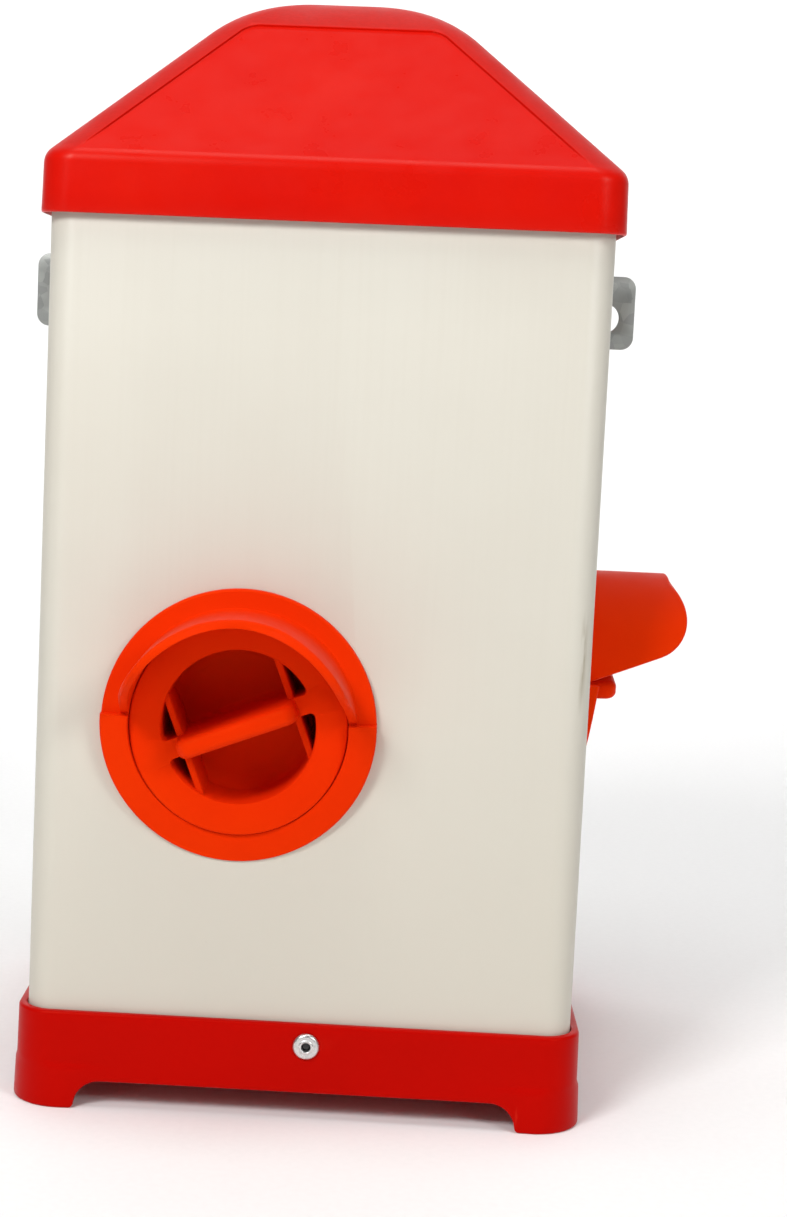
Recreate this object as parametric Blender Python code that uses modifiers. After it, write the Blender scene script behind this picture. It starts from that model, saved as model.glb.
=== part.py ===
"""Gravity feeder for poultry, modelled in metres with +Z up.

A square plastic hopper tube stands in a moulded base with four corner feet and
is closed by a lift-off hipped roof lid. Two hooded feed ports go through its
walls, one in the front (-Y) and one in the right side (+X). Each port has a
gasket and a lock nut behind the wall, a feed guard on its sleeve and a round
plug with a grip bar. A steel strap riveted to the back takes two screws.
"""

import math

import bmesh
import bpy
from mathutils import Matrix, Vector

# Fits
GAP = 0.0003
SEGMENTS = 40
SMALL_SEGMENTS = 12
SMOOTH_ANGLE = math.radians(35)

# Hopper tube
TUBE_SIDE = 0.1685
TUBE_WALL = 0.0025
TUBE_CORNER = 0.0085
TUBE_BOTTOM = 0.0133
TUBE_TOP = 0.2884
CORNER_STEPS = 6

# Roof lid
LID_WALL = 0.0022
LID_RIM_LOW = 0.2726
LID_RIM_HALF = 0.0872
LID_DRAFT = 0.0003
LID_CORNER = 0.0102
LID_CREASE = 0.2899
LID_CREASE_RADIUS = 0.0060
LID_SLOPE = math.radians(43.5)
LID_TOP = 0.3462
LID_TOP_RADIUS = 0.0500
LID_TOP_CORNER = 0.0055

# Base
BASE_HEIGHT = 0.0302
BASE_WALL_TOP_HALF = 0.0871
BASE_DRAFT = 0.0004
BASE_CORNER = 0.0112
BASE_FLARE = 0.0010
FOOT_CORNER = 0.0145
FLARE_TOP = 0.0146
FLARE_REACH = 0.0300
SKIRT_LOW = 0.0086
FLOOR_LOW = 0.0105
FLOOR_TOP = 0.0130
ARCH_FLAT_HALF = 0.0600
ARCH_RADIUS = 0.0080

# Blind rivets
RIVET_HEAD_RADIUS = 0.0041
RIVET_HEAD_HEIGHT = 0.0013
RIVET_SHANK_RADIUS = 0.0020
RIVET_HOLE_RADIUS = 0.0023
RIVET_BULB_RADIUS = 0.0031
RIVET_BORE_RADIUS = 0.00135
MANDREL_RADIUS = 0.00105
MANDREL_HEAD_RADIUS = 0.0018
BASE_RIVET_HEIGHT = 0.0235
FRONT_RIVET_OFFSET = 0.0032

# Hanging strap on the back
STRAP_HALF_LENGTH = 0.1110
STRAP_OFFSET = -0.0030
STRAP_HALF_HEIGHT = 0.0134
STRAP_THICKNESS = 0.0015
STRAP_CORNER = 0.0045
STRAP_HEIGHT = 0.2536
STRAP_HOLE_RADIUS = 0.00535
STRAP_HOLE_SPACING = 0.2000
STRAP_HOLE_DROP = 0.0020
STRAP_RIVET_SPACING = 0.0900
WASHER_RADIUS = 0.0065
WASHER_THICKNESS = 0.0012

# Feed ports, each in a frame with Z out of the wall, Y up and X to the right
FRONT_PORT_OFFSET = -0.0215
FRONT_PORT_HEIGHT = 0.1214
FRONT_PLUG_TURN = math.radians(21.4)
SIDE_PORT_OFFSET = 0.0
SIDE_PORT_HEIGHT = 0.1298
SIDE_PLUG_TURN = math.radians(7)
FLANGE_RADIUS = 0.0418
FLANGE_UPPER = 0.0030
FLANGE_MIDDLE = 0.0060
FLANGE_FOOT = 0.0008
FLANGE_STEP = 0.0024
HOOD_RADIUS = 0.0359
HOOD_TOP_REACH = 0.0307
HOOD_REACH = 0.0350
HOOD_NOSE_HEIGHT = 0.0245
HOOD_UPPER_RADIUS = 0.0120
HOOD_LOWER_RADIUS = 0.0135
HOOD_SWEEP = math.radians(21.5)
MOUTH_RADIUS = 0.0333
MOUTH_DEPTH = 0.0025
SLEEVE_RADIUS = 0.0356
SLEEVE_BORE = 0.0322
SLEEVE_DEPTH = 0.0280
WALL_HOLE_RADIUS = 0.0361

# Behind the wall
GASKET_THICKNESS = 0.0016
GASKET_RADIUS = 0.0430
NUT_THICKNESS = 0.0090
NUT_RADIUS = 0.0425
NUT_LUG_RADIUS = 0.0462
NUT_LUGS = 8
GUARD_WALL = 0.0024
GUARD_DEPTH = 0.0520
GUARD_MOUTH_TOP = -0.0080
GUARD_LIP_DEPTH = 0.0300

# Plug
PLUG_FACE = 0.0033
PLUG_RIM_RADIUS = 0.0330
PLUG_SKIRT_RADIUS = 0.0318
PLUG_SKIRT_INNER = 0.0279
PLUG_SKIRT_END = -0.0135
PLUG_FACE_THICKNESS = 0.0023
CUP_RADIUS = 0.0235
CUP_FLOOR_RADIUS = 0.0229
CUP_FLOOR = -0.0195
CUP_WALL = 0.0019
SEAL_GROOVE_RADIUS = 0.0292
SEAL_GROOVE_TOP = -0.0060
SEAL_GROOVE_END = -0.0090
SEAL_RADIUS = 0.0012
GRIP_HALF_WIDTH = 0.0030
GRIP_HALF_LENGTH = 0.0188
GRIP_TOP = 0.0145
GRIP_CORNER = 0.0040
GRIP_WALL = 0.0015
GRIP_BRIDGE = 0.0245
CROSS_WALL_PLACE = 0.0178
CROSS_WALL_HALF = 0.0010
CROSS_WALL_TOP = 0.0015

# The tube's axis, placed so that the whole feeder's footprint is centred on the origin
BASE_RIVET_SEAT = BASE_WALL_TOP_HALF + BASE_DRAFT / 4 + GAP
BACK_REACH = BASE_RIVET_SEAT + RIVET_HEAD_HEIGHT
TUBE_HALF = TUBE_SIDE / 2
TUBE_X = (STRAP_HALF_LENGTH - STRAP_OFFSET - TUBE_HALF - HOOD_REACH) / 2
TUBE_Y = (TUBE_HALF + HOOD_REACH - BACK_REACH) / 2

RED = (0.62, 0.010, 0.006, 1)
ORANGE = (0.80, 0.045, 0.002, 1)
CREAM = (0.76, 0.72, 0.62, 1)


def remove_old_objects():
    for old in list(bpy.data.objects):
        bpy.data.objects.remove(old, do_unlink=True)


def new_collection(name):
    collection = bpy.data.collections.new(name)
    bpy.context.scene.collection.children.link(collection)
    return collection


def plain_material(name, colour, roughness, metallic=0.0):
    material = bpy.data.materials.new(name)
    material.use_nodes = True
    shader = material.node_tree.nodes["Principled BSDF"]
    shader.inputs["Base Color"].default_value = colour
    shader.inputs["Roughness"].default_value = roughness
    shader.inputs["Metallic"].default_value = metallic
    return material


def empty(name, place, rotation=(0, 0, 0), parent=None):
    guide = bpy.data.objects.new(name, None)
    guide.location = place
    guide.rotation_euler = rotation
    guide.parent = parent
    PARTS.objects.link(guide)
    return guide


def smooth(mesh):
    mesh.shade_smooth()
    mesh.set_sharp_from_angle(angle=SMOOTH_ANGLE)


def part(name, data, material, parent):
    """Put a mesh or curve into the feeder as a named piece."""
    piece = bpy.data.objects.new(name, data)
    piece.parent = parent
    data.materials.append(material)
    if isinstance(data, bpy.types.Mesh):
        smooth(data)
    PARTS.objects.link(piece)
    return piece


def cutter(name, data, parent, place=(0, 0, 0), rotation=(0, 0, 0)):
    """Put a mesh beside the feeder as the second half of a Boolean."""
    tool = bpy.data.objects.new(name, data)
    tool.parent = parent
    tool.location = place
    tool.rotation_euler = rotation
    tool.hide_render = True
    tool.display_type = "WIRE"
    CUTTERS.objects.link(tool)
    return tool


def boolean(piece, tool, operation):
    modifier = piece.modifiers.new(tool.name, "BOOLEAN")
    modifier.object = tool
    modifier.operation = operation
    return modifier


def mesh_from(bm, name):
    bmesh.ops.recalc_face_normals(bm, faces=bm.faces[:])
    mesh = bpy.data.meshes.new(name)
    bm.to_mesh(mesh)
    bm.free()
    return mesh


def loft(name, rings, cap_first=True, cap_last=True):
    """Skin a stack of rings that all have the same number of points."""
    bm = bmesh.new()
    rows = [[bm.verts.new(point) for point in ring] for ring in rings]
    for low, high in zip(rows, rows[1:]):
        for index, vertex in enumerate(low):
            after = (index + 1) % len(low)
            bm.faces.new((vertex, low[after], high[after], high[index]))
    if cap_first:
        bm.faces.new(reversed(rows[0]))
    if cap_last:
        bm.faces.new(rows[-1])
    return mesh_from(bm, name)


def prism(name, outline, low, high, axis="Z"):
    """Extrude a closed outline along Z, or along X when its points are (y, z)."""
    if axis == "X":
        rings = [[(level, a, b) for a, b in outline] for level in (low, high)]
    else:
        rings = [[(a, b, level) for a, b in outline] for level in (low, high)]
    return loft(name, rings)


def box(name, low, high):
    corners = [(low[0], low[1]), (high[0], low[1]), (high[0], high[1]), (low[0], high[1])]
    return prism(name, corners, low[2], high[2])


def cylinder(name, radius, low, high, segments=SEGMENTS):
    return prism(name, arc((0, 0), radius, 0, 2 * math.pi, segments, closed=True), low, high)


def arc(centre, radius, start, end, steps, closed=False):
    count = steps if closed else steps + 1
    angles = [start + (end - start) * index / steps for index in range(count)]
    return [(centre[0] + radius * math.cos(angle), centre[1] + radius * math.sin(angle))
            for angle in angles]


def turned(name, profile, segments, closed=True):
    """Turn a profile of (radius, height) points about Z with a Screw modifier."""
    mesh = bpy.data.meshes.new(name)
    points = [(radius, 0, height) for radius, height in profile]
    edges = [(index, index + 1) for index in range(len(points) - 1)]
    if closed:
        edges.append((len(points) - 1, 0))
    mesh.from_pydata(points, edges, [])
    source = bpy.data.objects.new(name, mesh)
    CUTTERS.objects.link(source)
    screw = source.modifiers.new("turn", "SCREW")
    screw.steps = segments
    screw.render_steps = segments
    screw.use_merge_vertices = True
    screw.merge_threshold = 0.00001
    bpy.context.view_layer.update()
    result = bpy.data.meshes.new_from_object(source.evaluated_get(bpy.context.evaluated_depsgraph_get()))
    bpy.data.objects.remove(source, do_unlink=True)
    result.name = name
    return result


def rounded_rectangle(half_x, half_y, radius, steps):
    """Outline with round corners, counterclockwise from the right side."""
    outline = []
    signs = ((1, 1), (-1, 1), (-1, -1), (1, -1))
    for quarter, (sign_x, sign_y) in enumerate(signs):
        centre = (sign_x * (half_x - radius), sign_y * (half_y - radius))
        start = quarter * math.pi / 2
        outline += arc(centre, radius, start, start + math.pi / 2, steps)
    return outline


def square_ring(half, radius, height):
    return [(x, y, height) for x, y in rounded_rectangle(half, half, radius, CORNER_STEPS)]


def make_tube(parent):
    outer = rounded_rectangle(TUBE_HALF, TUBE_HALF, TUBE_CORNER, CORNER_STEPS)
    inner_half = TUBE_HALF - TUBE_WALL
    inner = rounded_rectangle(inner_half, inner_half, TUBE_CORNER - TUBE_WALL, CORNER_STEPS)
    tube = part("hopper_body", prism("hopper_body", outer, TUBE_BOTTOM, TUBE_TOP), MATERIALS["cream"], parent)
    hollow = prism("tube_hollow", inner, TUBE_BOTTOM - 0.01, TUBE_TOP + 0.01)
    boolean(tube, cutter("tube_hollow", hollow, parent), "DIFFERENCE")
    return tube


def lid_profile():
    """Outer profile from the rim's lower edge to the flat top, as (half width, height)."""
    rim_half = LID_RIM_HALF - LID_DRAFT
    crease_length = LID_CREASE_RADIUS * math.tan((math.pi / 2 - LID_SLOPE) / 2)
    crease_centre = (rim_half - LID_CREASE_RADIUS, LID_CREASE - crease_length)
    crease = arc(crease_centre, LID_CREASE_RADIUS, 0, math.pi / 2 - LID_SLOPE, 4)
    slope_rise = LID_TOP - LID_TOP_RADIUS * (1 - math.cos(LID_SLOPE)) - LID_CREASE
    slope_end = rim_half - slope_rise / math.tan(LID_SLOPE)
    top_half = slope_end - LID_TOP_RADIUS * math.sin(LID_SLOPE)
    top_centre = (top_half, LID_TOP - LID_TOP_RADIUS)
    top = arc(top_centre, LID_TOP_RADIUS, math.pi / 2 - LID_SLOPE, math.pi / 2, 8)
    return [(LID_RIM_HALF, LID_RIM_LOW)] + crease + top


def make_lid(parent):
    """Rim band, four slopes and a small flat top, skinned and then given its wall."""
    profile = lid_profile()
    top_half = profile[-1][0]
    rings = []
    for half, height in profile:
        share = (half - top_half) / (LID_RIM_HALF - top_half)
        rings.append(square_ring(half, LID_TOP_CORNER + (LID_CORNER - LID_TOP_CORNER) * share, height))
    lid = part("roof_lid", loft("roof_lid", rings, cap_first=False), MATERIALS["lid"], parent)
    wall = lid.modifiers.new("wall", "SOLIDIFY")
    wall.thickness = LID_WALL
    wall.offset = -1
    wall.use_even_offset = True
    return lid


def flare_ring(height):
    """Outline of the base at one height: the feet spread near the corners only."""
    drop = (BASE_HEIGHT - height) / BASE_HEIGHT
    half = BASE_WALL_TOP_HALF + BASE_DRAFT * drop
    spread = BASE_FLARE * min(1.0, max(0.0, (FLARE_TOP - height) / (FLARE_TOP - 0.0015)))
    radius = BASE_CORNER + (FOOT_CORNER - BASE_CORNER) * spread / BASE_FLARE
    straight = half - radius
    stations = [straight - FLARE_REACH * step / 3 for step in range(4)]
    ring = []
    for quarter in range(4):
        turn = quarter * math.pi / 2
        side = [(half + spread * (1 - (straight - y) / FLARE_REACH) ** 2, y) for y in reversed(stations)]
        corner = arc((straight, straight), radius + spread, 0, math.pi / 2, CORNER_STEPS)[1:-1]
        next_side = [(y, x) for x, y in reversed(side)]
        for x, y in side + corner + next_side:
            ring.append((x * math.cos(turn) - y * math.sin(turn), x * math.sin(turn) + y * math.cos(turn), height))
    return ring


def arch_outline():
    """Opening between two feet as (distance from the middle, height)."""
    centre_height = SKIRT_LOW - ARCH_RADIUS
    right = arc((ARCH_FLAT_HALF, centre_height), ARCH_RADIUS, 0, math.pi / 2, 5)
    left = [(-x, z) for x, z in reversed(right)]
    foot = ARCH_FLAT_HALF + ARCH_RADIUS
    return [(-foot, -0.01), (foot, -0.01)] + right + left


def make_base(parent):
    heights = (0, 0.0015, 0.0080, FLARE_TOP, BASE_HEIGHT - 0.0005, BASE_HEIGHT)
    rings = [flare_ring(height) for height in heights]
    base = part("base_pan", loft("base_pan", rings), MATERIALS["base"], parent)
    socket_half = TUBE_HALF + GAP
    socket = rounded_rectangle(socket_half, socket_half, TUBE_CORNER + GAP, CORNER_STEPS)
    boolean(base, cutter("base_socket", prism("base_socket", socket, FLOOR_TOP, 0.04), parent), "DIFFERENCE")
    under = rounded_rectangle(TUBE_HALF + 0.0006, TUBE_HALF + 0.0006, TUBE_CORNER, CORNER_STEPS)
    boolean(base, cutter("base_under", prism("base_under", under, -0.01, FLOOR_LOW), parent), "DIFFERENCE")
    arch = prism("base_arch", arch_outline(), -0.12, 0.12, axis="X")
    boolean(base, cutter("base_arch_sides", arch, parent), "DIFFERENCE")
    boolean(base, cutter("base_arch_front", arch, parent, rotation=(0, 0, math.pi / 2)), "DIFFERENCE")
    return base


def rivet_profile(grip, head_seat):
    """Blind rivet along Z: head above the seat, shank through the grip, bulb behind it."""
    head_top = head_seat + RIVET_HEAD_HEIGHT
    bulb_top = head_seat - grip
    return [
        (RIVET_BORE_RADIUS, head_top - 0.0002),
        (RIVET_BORE_RADIUS + 0.0005, head_top),
        (RIVET_HEAD_RADIUS * 0.62, head_top - 0.0001),
        (RIVET_HEAD_RADIUS * 0.9, head_top - 0.0006),
        (RIVET_HEAD_RADIUS, head_seat),
        (RIVET_SHANK_RADIUS, head_seat),
        (RIVET_SHANK_RADIUS, bulb_top),
        (RIVET_BULB_RADIUS, bulb_top - 0.0003),
        (RIVET_BULB_RADIUS, bulb_top - 0.0016),
        (RIVET_SHANK_RADIUS, bulb_top - 0.0036),
        (RIVET_BORE_RADIUS, bulb_top - 0.0038),
    ]


def mandrel_profile(grip, head_seat):
    """Broken-off steel pin left in a blind rivet."""
    top = head_seat - 0.0004
    shoulder = head_seat - grip - 0.0041
    return [
        (0, top),
        (MANDREL_RADIUS, top),
        (MANDREL_RADIUS, shoulder),
        (MANDREL_HEAD_RADIUS, shoulder),
        (MANDREL_HEAD_RADIUS, shoulder - 0.0010),
        (MANDREL_RADIUS, shoulder - 0.0018),
        (0, shoulder - 0.0018),
    ]


def outward_frame(place, normal):
    """Matrix that stands a turned piece's Z axis along a wall's outward normal."""
    matrix = Vector(normal).to_track_quat("Z", "Y").to_matrix().to_4x4()
    matrix.translation = Vector(place)
    return matrix


def repeated_part(name, mesh, material, frames, parent):
    """Copies of one small piece that share its mesh, one for each named place."""
    mesh.materials.append(material)
    smooth(mesh)
    for place, frame in frames.items():
        copy = bpy.data.objects.new(name + "_" + place, mesh)
        copy.parent = parent
        copy.matrix_local = frame
        PARTS.objects.link(copy)


def drill(name, radius, segments, frames, parent, *pieces):
    """Cut one round hole at each of the frames through the given pieces."""
    mesh = cylinder(name, radius, -0.02, 0.01, segments)
    for place, frame in frames.items():
        tool = cutter(name + "_" + place, mesh, parent)
        tool.matrix_local = frame
        for piece in pieces:
            boolean(piece, tool, "DIFFERENCE")


def make_base_rivets(parent, base, tube):
    seat = BASE_RIVET_SEAT
    grip = seat - TUBE_HALF + TUBE_WALL + GAP
    frames = {}
    for index, place in enumerate(("front", "right", "back", "left")):
        turn = Matrix.Rotation(index * math.pi / 2, 4, "Z")
        offset = FRONT_RIVET_OFFSET if place == "front" else 0
        frames[place] = turn @ outward_frame((offset, -seat, BASE_RIVET_HEIGHT), (0, -1, 0))
    body = turned("base_rivet", rivet_profile(grip, 0), SMALL_SEGMENTS)
    pin = turned("base_rivet_mandrel", mandrel_profile(grip, 0), SMALL_SEGMENTS, closed=False)
    repeated_part("base_rivet", body, MATERIALS["aluminium"], frames, parent)
    repeated_part("base_rivet_mandrel", pin, MATERIALS["steel"], frames, parent)
    drill("base_rivet_drill", RIVET_HOLE_RADIUS, SMALL_SEGMENTS, frames, parent, base, tube)


def make_strap(parent, tube):
    """Flat strap across the back, its two rivets and the washers inside the tube."""
    face = TUBE_HALF + GAP
    outline = rounded_rectangle(STRAP_HALF_LENGTH, STRAP_HALF_HEIGHT, STRAP_CORNER, CORNER_STEPS)
    strap = part("hanging_strap", prism("hanging_strap", outline, 0, STRAP_THICKNESS), MATERIALS["zinc"], parent)
    strap.matrix_local = outward_frame((STRAP_OFFSET, face, STRAP_HEIGHT), (0, 1, 0))
    screw_holes = {}
    rivets = {}
    for place, side in (("left", -1), ("right", 1)):
        screw_x = STRAP_OFFSET + side * STRAP_HOLE_SPACING / 2
        rivet_x = STRAP_OFFSET + side * STRAP_RIVET_SPACING / 2
        screw_place = (screw_x, face, STRAP_HEIGHT - STRAP_HOLE_DROP)
        rivet_place = (rivet_x, face + STRAP_THICKNESS + GAP, STRAP_HEIGHT)
        screw_holes[place] = outward_frame(screw_place, (0, 1, 0))
        rivets[place] = outward_frame(rivet_place, (0, 1, 0))
    grip = STRAP_THICKNESS + TUBE_WALL + WASHER_THICKNESS + 4 * GAP
    body = turned("strap_rivet", rivet_profile(grip, 0), SMALL_SEGMENTS)
    pin = turned("strap_rivet_mandrel", mandrel_profile(grip, 0), SMALL_SEGMENTS, closed=False)
    washer_top = -STRAP_THICKNESS - TUBE_WALL - 3 * GAP
    washer_profile = [
        (RIVET_HOLE_RADIUS, washer_top),
        (WASHER_RADIUS, washer_top),
        (WASHER_RADIUS, washer_top - WASHER_THICKNESS),
        (RIVET_HOLE_RADIUS, washer_top - WASHER_THICKNESS),
    ]
    washer = turned("strap_rivet_washer", washer_profile, 24)
    repeated_part("strap_rivet", body, MATERIALS["aluminium"], rivets, parent)
    repeated_part("strap_rivet_mandrel", pin, MATERIALS["steel"], rivets, parent)
    repeated_part("strap_rivet_washer", washer, MATERIALS["zinc"], rivets, parent)
    drill("strap_rivet_drill", RIVET_HOLE_RADIUS, SMALL_SEGMENTS, rivets, parent, strap, tube)
    drill("strap_punch", STRAP_HOLE_RADIUS, 24, screw_holes, parent, strap)


def flange_cut_outline():
    """Space in front of the flange as (height, reach): flat above the step, a wedge below it."""
    low = -FLANGE_RADIUS - 0.004
    slope = (FLANGE_MIDDLE - FLANGE_FOOT) / FLANGE_RADIUS
    return [
        (low, FLANGE_FOOT - slope * 0.004),
        (FLANGE_STEP, FLANGE_MIDDLE + slope * FLANGE_STEP),
        (FLANGE_STEP, FLANGE_UPPER),
        (-low, FLANGE_UPPER),
        (-low, 0.02),
        (low, 0.02),
    ]


def hood_side_outline():
    """Side view of the hood as (height, reach): level top, round nose, lower edge swept back."""
    lower_centre = (HOOD_REACH - HOOD_LOWER_RADIUS, HOOD_NOSE_HEIGHT)
    upper_centre = (HOOD_REACH - HOOD_UPPER_RADIUS, HOOD_NOSE_HEIGHT)
    top_angle = math.acos((HOOD_TOP_REACH - upper_centre[0]) / HOOD_UPPER_RADIUS)
    lower_nose = arc(lower_centre, HOOD_LOWER_RADIUS, HOOD_SWEEP - math.pi / 2, 0, 8)
    upper_nose = arc(upper_centre, HOOD_UPPER_RADIUS, 0, top_angle, 6)
    touch_reach, touch_height = lower_nose[0]
    wall_height = touch_height - touch_reach * math.tan(HOOD_SWEEP)
    crown = HOOD_RADIUS + 0.002
    nose = [(height, reach) for reach, height in lower_nose + upper_nose[1:]]
    return [(wall_height, 0)] + nose + [(crown, HOOD_TOP_REACH), (crown, 0)]


def make_port_hood(name, port):
    """Flange against the wall, rain hood in front of it and sleeve through the wall."""
    flange = cylinder(name, FLANGE_RADIUS, 0, 0.008)
    hood = part(name, flange, MATERIALS["port"], port)
    front = prism("flange_front", flange_cut_outline(), -0.06, 0.06, axis="X")
    boolean(hood, cutter(name + "_front", front, port), "DIFFERENCE")
    visor = cutter(name + "_visor", cylinder("visor", HOOD_RADIUS, 0.0004, 0.05), port)
    side = cutter(name + "_side", prism("visor_side", hood_side_outline(), -0.06, 0.06, axis="X"), port)
    boolean(visor, side, "INTERSECT")
    boolean(hood, visor, "UNION")
    sleeve = cutter(name + "_sleeve", cylinder("sleeve", SLEEVE_RADIUS, -SLEEVE_DEPTH, 0.0006), port)
    boolean(hood, sleeve, "UNION")
    bore = cutter(name + "_bore", cylinder("bore", SLEEVE_BORE, -0.04, 0.05), port)
    boolean(hood, bore, "DIFFERENCE")
    mouth = cutter(name + "_mouth", cylinder("mouth", MOUTH_RADIUS, -MOUTH_DEPTH, 0.06), port)
    boolean(hood, mouth, "DIFFERENCE")
    return hood


def make_gasket(name, port):
    top = -TUBE_WALL - GAP
    profile = [
        (WALL_HOLE_RADIUS, top),
        (GASKET_RADIUS, top),
        (GASKET_RADIUS, top - GASKET_THICKNESS),
        (WALL_HOLE_RADIUS, top - GASKET_THICKNESS),
    ]
    return part(name, turned(name, profile, SEGMENTS), MATERIALS["rubber"], port)


def make_lock_nut(name, port):
    """Ring nut with finger lugs around it."""
    top = -TUBE_WALL - GASKET_THICKNESS - 2 * GAP
    outline = []
    for lug in range(NUT_LUGS):
        middle = 2 * math.pi * lug / NUT_LUGS
        pitch = 2 * math.pi / NUT_LUGS
        outline += arc((0, 0), NUT_RADIUS, middle - pitch / 2, middle - pitch / 5, 3)
        outline += arc((0, 0), NUT_LUG_RADIUS, middle - pitch / 7, middle + pitch / 7, 2)
        outline += arc((0, 0), NUT_RADIUS, middle + pitch / 5, middle + pitch / 2.2, 2)
    nut = part(name, prism(name, outline, top - NUT_THICKNESS, top), MATERIALS["port"], port)
    thread = cylinder("nut_thread", SLEEVE_RADIUS + GAP, -0.05, 0.01)
    boolean(nut, cutter(name + "_thread", thread, port), "DIFFERENCE")
    return nut


def make_feed_guard(name, port):
    """Closed cap pushed onto the sleeve's end and cut open below, so that feed doesn't pour out."""
    top = -TUBE_WALL - GASKET_THICKNESS - NUT_THICKNESS - 3 * GAP
    inner = SLEEVE_RADIUS + GAP
    outer = inner + GUARD_WALL
    profile = [
        (inner, top),
        (outer, top),
        (outer, -GUARD_DEPTH + 0.010),
        (outer - 0.004, -GUARD_DEPTH + 0.002),
        (outer - 0.014, -GUARD_DEPTH),
        (0, -GUARD_DEPTH),
        (0, -GUARD_DEPTH + GUARD_WALL),
        (inner - 0.013, -GUARD_DEPTH + GUARD_WALL),
        (inner - 0.003, -GUARD_DEPTH + GUARD_WALL + 0.002),
        (inner, -GUARD_DEPTH + GUARD_WALL + 0.009),
    ]
    guard = part(name, turned(name, profile, SEGMENTS), MATERIALS["port"], port)
    mouth = box("guard_mouth", (-0.06, -0.06, -0.08), (0.06, GUARD_MOUTH_TOP, -GUARD_LIP_DEPTH))
    boolean(guard, cutter(name + "_mouth", mouth, port), "DIFFERENCE")
    return guard


def make_plug_seal(name, plug_axis):
    middle = (SEAL_GROOVE_TOP + SEAL_GROOVE_END) / 2
    ring = SLEEVE_BORE - GAP - SEAL_RADIUS
    profile = arc((ring, middle), SEAL_RADIUS, math.pi / 2, -1.5 * math.pi, 6, closed=True)
    return part(name, turned(name, profile, SEGMENTS), MATERIALS["rubber"], plug_axis)


def plug_profile():
    cup_outer = CUP_RADIUS + CUP_WALL
    behind_face = PLUG_FACE - PLUG_FACE_THICKNESS
    shoulder = -MOUTH_DEPTH + GAP
    return [
        (0, CUP_FLOOR),
        (CUP_FLOOR_RADIUS, CUP_FLOOR),
        (CUP_RADIUS, PLUG_FACE),
        (PLUG_RIM_RADIUS, PLUG_FACE),
        (PLUG_RIM_RADIUS, shoulder),
        (PLUG_SKIRT_RADIUS, shoulder),
        (PLUG_SKIRT_RADIUS, SEAL_GROOVE_TOP),
        (SEAL_GROOVE_RADIUS, SEAL_GROOVE_TOP),
        (SEAL_GROOVE_RADIUS, SEAL_GROOVE_END),
        (PLUG_SKIRT_RADIUS, SEAL_GROOVE_END),
        (PLUG_SKIRT_RADIUS - 0.0004, PLUG_SKIRT_END),
        (PLUG_SKIRT_INNER, PLUG_SKIRT_END),
        (PLUG_SKIRT_INNER, behind_face),
        (cup_outer, behind_face),
        (cup_outer - 0.0006, CUP_FLOOR - CUP_WALL),
        (0, CUP_FLOOR - CUP_WALL),
    ]


def grip_outline(half_length, top, corner):
    """Grip bar from the side as (distance along the bar, reach)."""
    right = arc((half_length - corner, top - corner), corner, 0, math.pi / 2, 5)
    left = [(-x, z) for x, z in reversed(right)]
    return right + left


def make_plug(name, plug_axis):
    """Cup with a flat ring face, a hollow grip bar across it and two cross walls."""
    plug = part(name, turned(name, plug_profile(), SEGMENTS, closed=False), MATERIALS["port"], plug_axis)
    low = CUP_FLOOR - 0.0005
    outline = grip_outline(GRIP_HALF_LENGTH, GRIP_TOP, GRIP_CORNER)
    outline += [
        (-GRIP_HALF_LENGTH, PLUG_FACE - 0.0002),
        (-GRIP_BRIDGE, PLUG_FACE - 0.0002),
        (-GRIP_BRIDGE, low),
        (GRIP_BRIDGE, low),
        (GRIP_BRIDGE, PLUG_FACE - 0.0002),
        (GRIP_HALF_LENGTH, PLUG_FACE - 0.0002),
    ]
    upright = (0, 0, -math.pi / 2)
    bar = prism("grip_bar", outline, -GRIP_HALF_WIDTH, GRIP_HALF_WIDTH, axis="X")
    boolean(plug, cutter(name + "_bar", bar, plug_axis, rotation=upright), "UNION")
    for side in (-1, 1):
        place = side * CROSS_WALL_PLACE
        reach = math.sqrt((CUP_RADIUS + CUP_WALL / 2) ** 2 - CROSS_WALL_PLACE ** 2)
        wall = box("cross_wall", (place - CROSS_WALL_HALF, -reach, low), (place + CROSS_WALL_HALF, reach, CROSS_WALL_TOP))
        boolean(plug, cutter(name + "_wall_" + ("left" if side < 0 else "right"), wall, plug_axis), "UNION")
    hollow = grip_outline(GRIP_HALF_LENGTH - GRIP_WALL, GRIP_TOP - GRIP_WALL, GRIP_CORNER - GRIP_WALL)
    hollow += [(-GRIP_HALF_LENGTH + GRIP_WALL, -0.03), (GRIP_HALF_LENGTH - GRIP_WALL, -0.03)]
    slot = prism("grip_hollow", hollow, -GRIP_HALF_WIDTH + GRIP_WALL, GRIP_HALF_WIDTH - GRIP_WALL, axis="X")
    boolean(plug, cutter(name + "_hollow", slot, plug_axis, rotation=upright), "DIFFERENCE")
    return plug


def make_port(side, place, turn, plug_turn, parent, tube):
    port = empty(side + "_port_frame", place, (math.pi / 2, 0, turn), parent)
    plug_axis = empty(side + "_plug_axis", (0, 0, 0), (0, 0, plug_turn), port)
    hole = cylinder("wall_hole", WALL_HOLE_RADIUS, -0.02, 0.01)
    boolean(tube, cutter(side + "_wall_hole", hole, port), "DIFFERENCE")
    make_port_hood(side + "_port_hood", port)
    make_gasket(side + "_port_gasket", port)
    make_lock_nut(side + "_lock_nut", port)
    make_feed_guard(side + "_feed_guard", port)
    make_plug_seal(side + "_plug_seal", plug_axis)
    make_plug(side + "_plug", plug_axis)


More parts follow.
